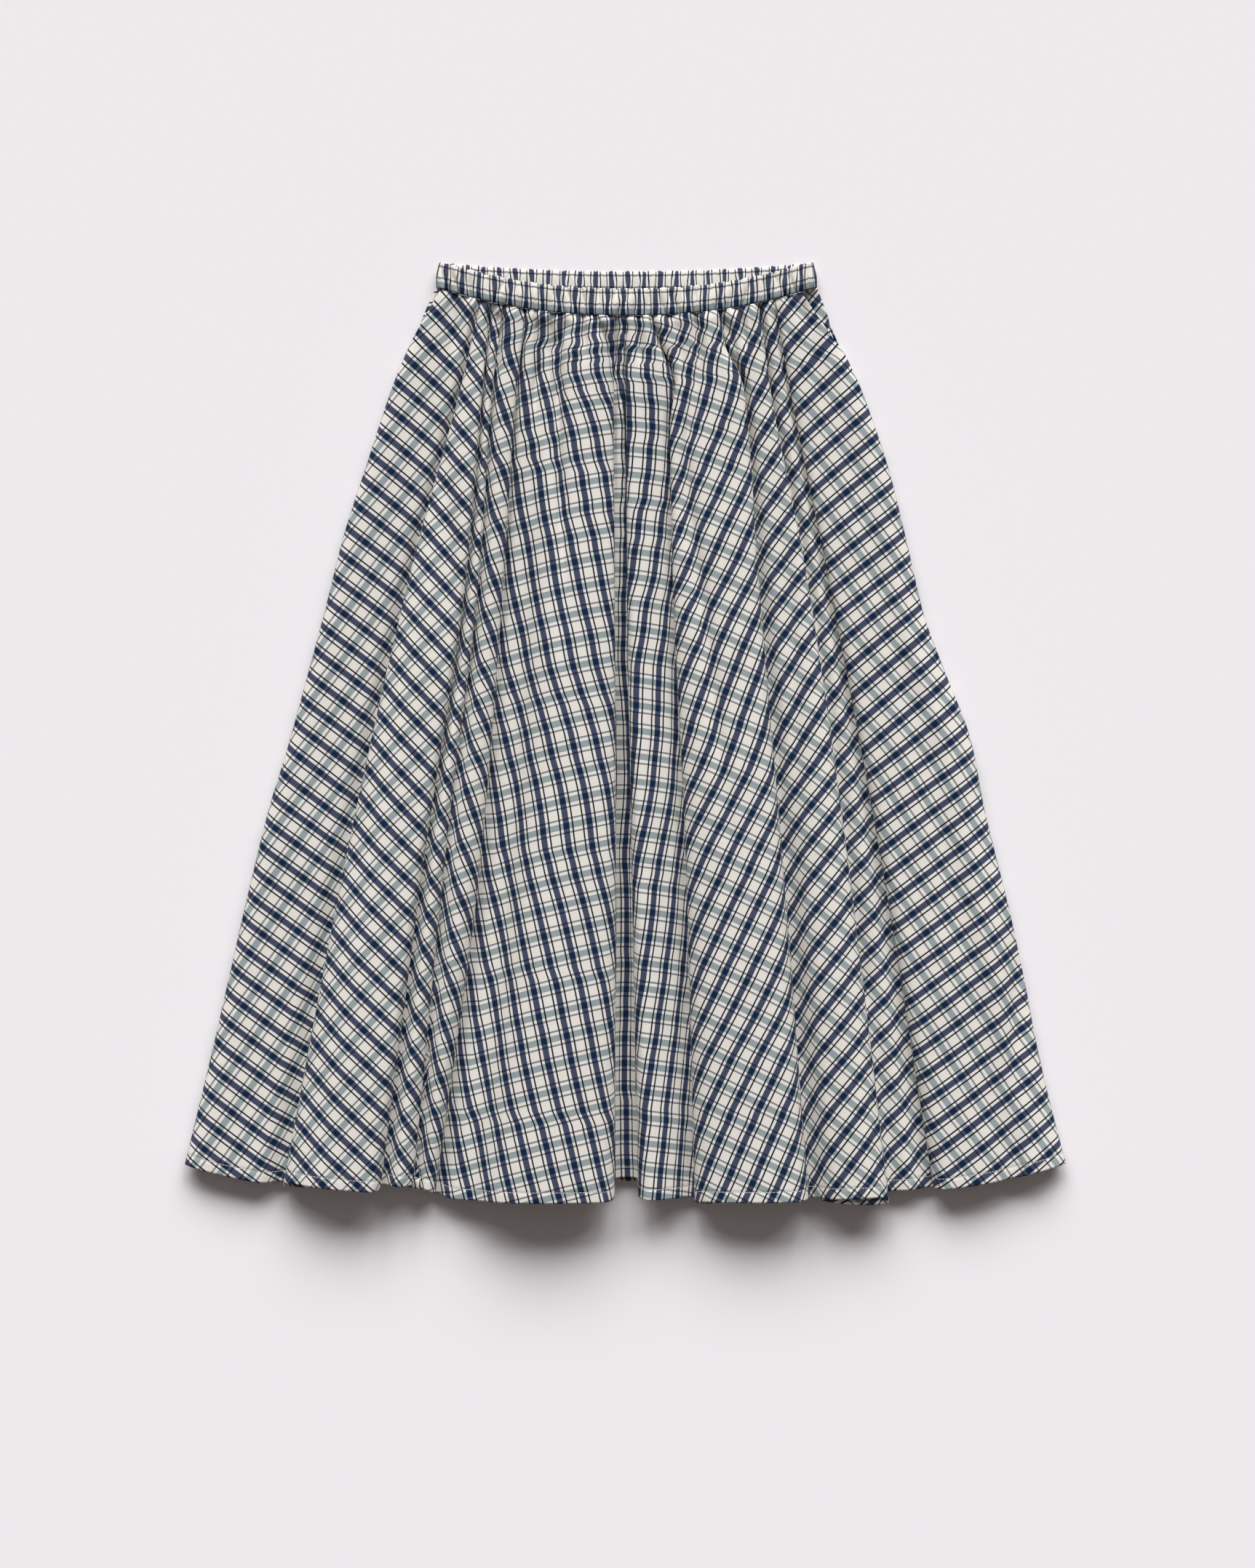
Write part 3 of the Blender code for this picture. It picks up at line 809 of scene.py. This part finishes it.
def frontShape(t):
    half = halfWidth(t)
    lines = frontLines(t)
    starts, ends = frontEnds(t, half, lines)
    pitch = layerPitch(t, front["pitch"])
    margin = between(shape["overlap"], t)
    path = clothPath(starts, ends, frontCounts[0], frontCounts[1], front["bend"] * pitch)
    x, layer, way = path.T
    over = layersOver(x, layer, starts, ends, frontOrders, margin, 1)
    under = layersOver(x, layer, starts, ends, frontOrders, margin, -1)
    top = (frontTop(x, t, half, lines) + waistWaves(x, t, half, front["waves"]) + puffOut(x, t, half)
           + frontCreases(x, t) + foldDips(x, t, lines) - pitch * over)
    top = softAbove(top, frontFloor(x, t, half, under))
    base = between(shape["sideHeight"], t) + shape["sideGap"]
    z = base + (top - base) * turnDown(x, t, half)
    lift = hemLifts(path, lines, pieceLifts, foldPeeks)
    y = rowY(x, t, half, lift, 0.0, shape["waistDip"], 0.0, shape["hemRise"])
    shown = [starts[0]] + lines + [ends[-1]]
    return widen(x, t, half, lines), y, z, way, shown


def frontGather():  # cloth in the waist seam beyond what its waves take up
    x, y, z = frontShape(0.0)[:3]
    held = np.hypot(np.diff(x), np.diff(z)).sum()
    return 2.0 * math.radians(shape["cutHalfAngle"]) * shape["cutInner"] / held


waistGather = frontGather()
print("front waist gather", waistGather)


def frontRow(t):
    x, y, z, way, shown = frontShape(t)
    ease = 1.0 + (waistGather - 1.0) * math.exp(-t / front["gatherReach"])
    return np.column_stack([x, y, z]), cutAngles(way, shown, x, z, t, foldHidden, ease)


def rowPlaces(counts):
    share = shape["upperShare"]
    upper = share * (np.arange(counts[0]) / counts[0]) ** shape["upperCrowding"]
    lower = share + (1.0 - share) * np.arange(counts[1] + 1) / counts[1]
    return np.concatenate([upper, lower[:-1], (1.0 - shape["hemEdge"] / shape["cutLength"], 1.0)])


# A panel from the waist seam to its hem, which is turned to the inside: 1 is below it, -1 above.
def sewnPanel(name, rowAt, counts, inside):
    rows = []
    cuts = []
    sewings = []
    turn = shape["hemTurn"]
    radiusHem = shape["cutInner"] + shape["cutLength"]

    def addRow(points, angle, cutAt, fromHem):
        rows.append(points)
        cuts.append(cutPlace(angle, cutAt))
        sewings.append(np.column_stack([angle * radiusHem, np.full(len(angle), fromHem)]))

    for t in rowPlaces(counts):
        points, angle = rowAt(float(t))
        addRow(points, angle, t, (1.0 - t) * shape["cutLength"])
    for up, depth in shape["turnRows"]:
        points, angle = rowAt(1.0 - up * turn / shape["cutLength"])
        along = np.gradient(points, axis=0)
        length = np.maximum(np.hypot(along[:, 0], along[:, 2]), 1e-7)
        normal = np.column_stack([-along[:, 2] / length, np.zeros(len(points)), along[:, 0] / length])
        points = points - inside * normal * (shape["wall"] * shape["turnLayer"] * depth)
        if up == 0.0:
            points[:, 1] -= shape["turnDrop"]
        addRow(points, angle, 1.0 + up * turn / shape["cutLength"], -up * turn)
    return clothMesh(name, rows, cuts, sewings, shape["wall"])


frontSkirt = sewnPanel("front_skirt", frontRow, front["rows"], 1.0)
print("front panel", len(frontSkirt.data.polygons), "faces")

back = {
    "pitch": (0.0022, 0.0030),
    "bend": 0.5,
    "spacing": 0.0075,
    "rows": (14, 34),
    "narrower": 0.0014,  # than the front, at each side
    "rest": 0.0006,  # height off the ground
    "waves": ((11, 0.6, 0.085, 1.1),),
    "lift": (0.0006, 0.085),  # at the waist, and t over which it fades
    "hem": (0.015, 0.009),  # how much higher its middle is, and how much flatter it runs
    "gather": (0.35, 0.05),
    "folds": (
        # fraction of the half width, which side is on top, tuck in mm
        (-0.74, "left", 80), (-0.47, "left", 98), (-0.20, "left", 100),
        (0.20, "right", 100), (0.47, "right", 98), (0.74, "right", 80),
    ),
    "orders": (0, 1, 2, 3, 4, 5, 6, 5, 4, 3, 2, 1, 0),  # of each piece and each return after it
}

backParts, backTops, backTucks = zip(*back["folds"])


def backEnds(t, half):
    lines = [part * half for part in backParts]
    tucks = [tuckAt(t, 0.001 * tuck) for tuck in backTucks]
    starts, ends = foldEnds(lines, backTops, tucks, -half, half)
    return lines, starts, ends


backCounts = pointCounts(*backEnds(1.0, halfWidth(1.0))[1:], back["spacing"])


def backRow(t):
    half = halfWidth(t) - back["narrower"]
    lines, starts, ends = backEnds(t, half)
    pitch = layerPitch(t, back["pitch"])
    margin = between(shape["overlap"], t)
    path = clothPath(starts, ends, backCounts[0], backCounts[1], back["bend"] * pitch)
    x, layer, way = path.T
    under = layersOver(x, layer, starts, ends, back["orders"], margin, -1)
    lift, reach = back["lift"]
    z = back["rest"] + pitch * under + waistWaves(x, t, half, back["waves"]) + lift * math.exp(-t / reach)
    edge = between(shape["sideHeight"], t) - shape["sideGap"]
    z = edge + (z - edge) * turnDown(x, t, half)
    mid = shape["backSeamMid"]
    hemMid, flatter = back["hem"]
    y = rowY(x, t, half, 0.0, mid, shape["waistDip"] - mid, hemMid, shape["hemRise"] - flatter)
    shown = [starts[0]] + lines + [ends[-1]]
    gather, reach = back["gather"]
    ease = 1.0 + gather * math.exp(-t / reach)
    x = widen(x, t, half, frontLines(t))
    return np.column_stack([x, y, z]), cutAngles(way, shown, x, z, t, [1.0] * len(lines), ease)


backSkirt = sewnPanel("back_skirt", backRow, back["rows"], -1.0)
print("back panel", len(backSkirt.data.polygons), "faces")

band = {
    "around": 2400,  # points
    "wall": 0.0026,
    "waistHalf": 0.1742,
    "above": 0.0003,  # the panels' seam
    "fullness": 1.42,  # cloth to each metre of band
    "ribs": 56,
    "ribDepth": 0.0022,
    "ribWander": ((1.3, 4.0, 0.4), (0.9, 11.0, 0.0)),  # radians, waves round the band, shift
    "slant": 3.2,  # how far a rib leans, in radians of its own turn
    "slantTurn": (2.6, 1.2),  # its turn up the band, and where it starts
    "creaseWidth": 0.24,  # of the sine across a rib
    "creaseDepth": 1.8,  # of a crease between two ribs, in ribs
    "fineCreases": 111.0,
    "fineDepth": 0.0005,
    "backShare": 0.25,  # of the ribs' depth on the back
    "backLimits": (-0.0030, 0.0013),  # how far in and out the back may go
    "puff": 0.0004,
    "frill": 0.0006,  # unevenness of the top edge
    "frillFrom": 0.85,  # how far up the band it starts
    "corner": (0.92, 0.08),  # where the top corners start, in half widths
    "cornerIn": 0.0022,  # how far they are drawn in, and how far they sag
    "cornerDrop": 0.0010,
    "bunching": 0.0015,
    "checkHeight": 0.97,
    "profile": (
        # way up the band, side: 1 outside, -1 inside
        (0.0, 0.2), (0.006, 0.6), (0.016, 0.85), (0.04, 0.97), (0.12, 1.0), (0.25, 1.0), (0.4, 0.97),
        (0.56, 0.88), (0.72, 0.74), (0.86, 0.60), (0.95, 0.50), (0.985, 0.36), (1.0, 0.0), (0.985, -0.36),
        (0.95, -0.55), (0.82, -0.85), (0.6, -1.0), (0.35, -1.0), (0.12, -1.0), (0.02, -0.9), (0.0, -0.7),
    ),
}


def bandRing(count):  # x, z and outward direction round the flattened ring
    radius = 0.5 * (shape["waistHeight"] - 0.5 * band["wall"])
    straight = 2.0 * (band["waistHalf"] - radius)
    around = 2.0 * straight + 2.0 * math.pi * radius
    s = np.arange(count) * around / count
    turn = math.pi * radius
    x = np.zeros(count)
    z = np.zeros(count)
    out = np.zeros((count, 2))
    for i, place in enumerate(s):
        if place < straight:
            x[i], z[i], out[i] = -0.5 * straight + place, radius, (0.0, 1.0)
        elif place < straight + turn:
            angle = (place - straight) / radius
            x[i] = 0.5 * straight + radius * math.sin(angle)
            z[i] = radius * math.cos(angle)
            out[i] = (math.sin(angle), math.cos(angle))
        elif place < 2.0 * straight + turn:
            x[i], z[i], out[i] = 0.5 * straight - (place - straight - turn), -radius, (0.0, -1.0)
        else:
            angle = (place - 2.0 * straight - turn) / radius
            x[i] = -0.5 * straight - radius * math.sin(angle)
            z[i] = -radius * math.cos(angle)
            out[i] = (-math.sin(angle), -math.cos(angle))
    return s, x, z, out, around, radius


def bandRibs(full, up):  # a rib's turn, the ribs and the fine creases, -1 to 1
    rate, start = band["slantTurn"]
    turn = band["ribs"] * full
    for reach, count, shift in band["ribWander"]:
        turn = turn + reach * np.sin(count * full + shift)
    turn = turn + band["slant"] * math.sin(rate * up - start) * np.sin(7.0 * full + 1.0)
    arch = np.abs(np.sin(0.5 * turn))
    rib = 0.6 + 0.4 * arch - band["creaseDepth"] * np.exp(-arch / band["creaseWidth"])
    small = band["fineCreases"] * full + 2.0 * np.sin(9.0 * full)
    small = small + 1.6 * math.sin(5.0 * up) * np.sin(17.0 * full + 1.0)
    fine = 2.0 * np.abs(np.sin(0.5 * small)) ** 0.8 - 1.0
    return turn, rib, fine


def makeBand():
    s, x, z, out, around, radius = bandRing(band["around"])
    face = smoothStep(0.5 + 0.5 * z / radius)  # 1 on the front, 0 on the back
    u = np.abs(x) / band["waistHalf"]
    mid = shape["backSeamMid"]
    frontSeam = shape["waistDip"] * u ** shape["seamCurve"]
    backSeam = mid + (shape["waistDip"] - mid) * u ** shape["seamCurve"]
    seam = backSeam + (frontSeam - backSeam) * face + band["above"]
    rows = []
    cuts = []
    sewings = []
    centre = 0.5 * band["wall"] + radius
    cornerStart, cornerSoft = band["corner"]
    corner = smoothStep((u - cornerStart) / cornerSoft)
    frontShare = band["backShare"] + (1.0 - band["backShare"]) * face
    full = 2.0 * math.pi * s / around
    for up, side in band["profile"]:
        turn, rib, fine = bandRibs(full, up)
        uneven = 0.6 + 0.4 * np.sin(5.0 * full + 2.0 + 3.0 * up) * np.sin(13.0 * full - 4.0 * up)
        swell = math.sin(math.pi * min(max(up, 0.0), 1.0)) ** 0.6
        depth = band["ribDepth"] * uneven * (0.75 + 0.25 * up) * rib
        depth = depth + band["fineDepth"] * fine * (0.5 + 0.5 * up)
        offset = 0.5 * band["wall"] * side + depth * frontShare + side * band["puff"] * swell
        offset = np.where(out[:, 1] < -0.5, np.clip(offset, *band["backLimits"]), offset)
        frill = band["frill"] * (0.7 * rib + fine) * max(0.0, up - band["frillFrom"]) / 0.15
        height = shape["bandHeight"] * up
        rows.append(np.column_stack([
            x + out[:, 0] * offset - np.sign(x) * corner * band["cornerIn"] * up,
            seam + height + frill - corner * band["cornerDrop"] * up,
            centre + z + out[:, 1] * offset,
        ]))
        pulled = band["bunching"] * (np.sin(turn) * 0.5 + np.sin(7.0 * full + 3.0 * up) * (up - 0.4))
        cutUp = height * band["checkHeight"] + 0.0004 * fine
        cuts.append(np.column_stack([s * band["fullness"] + pulled, cutUp]))
        sewings.append(np.column_stack([s, np.full(len(s), height if side > 0 else -0.01)]))
    return clothMesh("waistband_casing", rows, cuts, sewings, 0.0, closed=True)


waistband = makeBand()
print("waistband", len(waistband.data.polygons), "faces")

facing = {
    "width": 0.042,
    "reach": 0.195,  # t where it ends
    "across": 26,  # points
    "rows": 60,
    "setIn": 0.0030,  # from the side, where the slit closes
    "setInFrom": (0.03, 0.022),  # t where that starts, and over which it grows
    "height": (0.0078, 0.0118),
    "ripple": 0.00012,
    "grain": (85.0, 40.0),  # degrees the grain is turned, left and right
}


def makeFacing(name, sign):
    rows = []
    cuts = []
    sewings = []
    turn = math.radians(facing["grain"][0 if sign < 0.0 else 1])
    start, soft = facing["setInFrom"]
    for t in np.linspace(0.0, facing["reach"], facing["rows"]):
        half = halfWidth(t)
        outer = half - facing["setIn"] * float(smoothStep((t - start) / soft))
        x = sign * np.linspace(outer - facing["width"], outer, facing["across"])
        y = rowY(x, t, half, 0.0, 0.0, shape["waistDip"], 0.0, shape["hemRise"])
        z = between(facing["height"], t) + facing["ripple"] * np.sin(260.0 * x + 30.0 * t)
        rows.append(np.column_stack([widen(x, t, half, frontLines(t)), y, z]))
        cuts.append(np.column_stack([
            x * math.cos(turn) - y * math.sin(turn),
            x * math.sin(turn) + y * math.cos(turn),
        ]))
        sewings.append(np.column_stack([y, np.abs(x) - (half - facing["width"])]))
    return clothMesh(name, rows, cuts, sewings, shape["wall"])


facingLeft = makeFacing("pocket_facing_left", -1.0)
facingRight = makeFacing("pocket_facing_right", 1.0)
print("pocket facings ready")

# phases of the warp and the weft, then the stitch rows' distances from the edge
skirtCloth = makeCloth("woven_check_skirt", (0.0, 0.0), (shape["hemTurn"],))
bandCloth = makeCloth("woven_check_band", (0.0, 0.0), ())
facingCloth = makeCloth("woven_check_facing", (0.2, 0.1), ())

panelCut = (1.90, 0.948)
panelArea = 1.194
dressing = (
    # piece, CAD node, material slot, material, flat cut, area, how it is held, what it rests on
    (frontSkirt, "front_panel", "front_cloth", skirtCloth, panelCut, panelArea, "gathered", ["back_panel"]),
    (backSkirt, "back_panel", "back_cloth", skirtCloth, panelCut, panelArea, "gathered", []),
    (waistband, "waistband", "band_cloth", bandCloth, (0.98, 0.024), None, "gathered", []),
    (facingLeft, "pocket_left", "facing_cloth", facingCloth, (0.042, 0.170), None, "laid", ["back_panel"]),
    (facingRight, "pocket_right", "facing_cloth", facingCloth, (0.042, 0.170), None, "laid", ["back_panel"]),
)
for piece, node, slot, cloth, flat, area, held, carried in dressing:
    piece.data.materials.append(cloth)
    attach(piece, "root")
    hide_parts(node)
print("pieces dressed")

setting = {
    "scale": 0.000673,  # metres to a photo pixel
    "photoHeight": 2156,  # pixels
    "centre": (0.001, -0.0485),
    "distance": 3.0,
    "sensor": 24.0,
    "ground": (0.80, 0.785, 0.815, 1.0),
    "groundShade": 0.985,  # its darker patches
    "groundReach": 30.0,
    "groundDrop": 0.0004,  # so that the cloth never lies in the same plane
    "world": 0.155,
    "worldColour": (1.0, 0.87, 0.80, 1.0),
    "sun": 6.1,
    "sunHeight": 28.0,  # degrees above the horizon, from beyond the waist
    "sunAside": (-24.0, -2.0, 20.0),  # degrees aside, one lamp each
    "sunAngle": 32.0,  # of each lamp's disc: wide, for soft shadows
}


def makeGround():
    reach = setting["groundReach"]
    corners = [(-reach, -reach, 0.0), (reach, -reach, 0.0), (reach, reach, 0.0), (-reach, reach, 0.0)]
    mesh = bpy.data.meshes.new("ground")
    mesh.from_pydata(corners, [], [(0, 1, 2, 3)])
    ground = bpy.data.objects.new("ground", mesh)
    scene.collection.objects.link(ground)
    material = bpy.data.materials.new("pale_ground")
    material.use_nodes = True
    tree = material.node_tree
    shader = tree.nodes["Principled BSDF"]
    grain = addNode(tree, "ShaderNodeTexNoise", (-500, 0))
    grain.inputs["Scale"].default_value = 3.0
    darker = [setting["groundShade"] * c for c in setting["ground"][:3]] + [1.0]
    tone = mixStep(tree, "MIX", grain.outputs[0], setting["ground"], darker, place=(-250, 0))
    feed(tree, shader.inputs["Base Color"], tone)
    shader.inputs["Roughness"].default_value = 0.85
    shader.inputs["Specular IOR Level"].default_value = 0.1
    mesh.materials.append(material)
    ground.location = (0.0, 0.0, -setting["groundDrop"])


makeGround()
for number, aside in enumerate(setting["sunAside"]):
    sunData = bpy.data.lights.new("key_%d" % number, "SUN")
    sunData.energy = setting["sun"] / len(setting["sunAside"])
    sunData.angle = math.radians(setting["sunAngle"])
    sun = bpy.data.objects.new(sunData.name, sunData)
    scene.collection.objects.link(sun)
    sun.rotation_euler = (math.radians(setting["sunHeight"] - 90.0), 0.0, math.radians(aside))

world = bpy.data.worlds.new("soft_studio")
scene.world = world
world.use_nodes = True
sky = world.node_tree.nodes["Background"]
sky.inputs["Color"].default_value = setting["worldColour"]
sky.inputs["Strength"].default_value = setting["world"]

cameraData = bpy.data.cameras.new("above")
camera = bpy.data.objects.new("above", cameraData)
scene.collection.objects.link(camera)
camera.location = (setting["centre"][0], setting["centre"][1], setting["distance"])
camera.rotation_euler = (0.0, 0.0, 0.0)
cameraData.sensor_fit = "VERTICAL"
cameraData.sensor_height = setting["sensor"]
cameraData.lens = setting["sensor"] * setting["distance"] / (setting["photoHeight"] * setting["scale"])
cameraData.clip_end = 50.0
scene.camera = camera
scene.view_settings.view_transform = "Standard"
print("ground, light and camera ready")
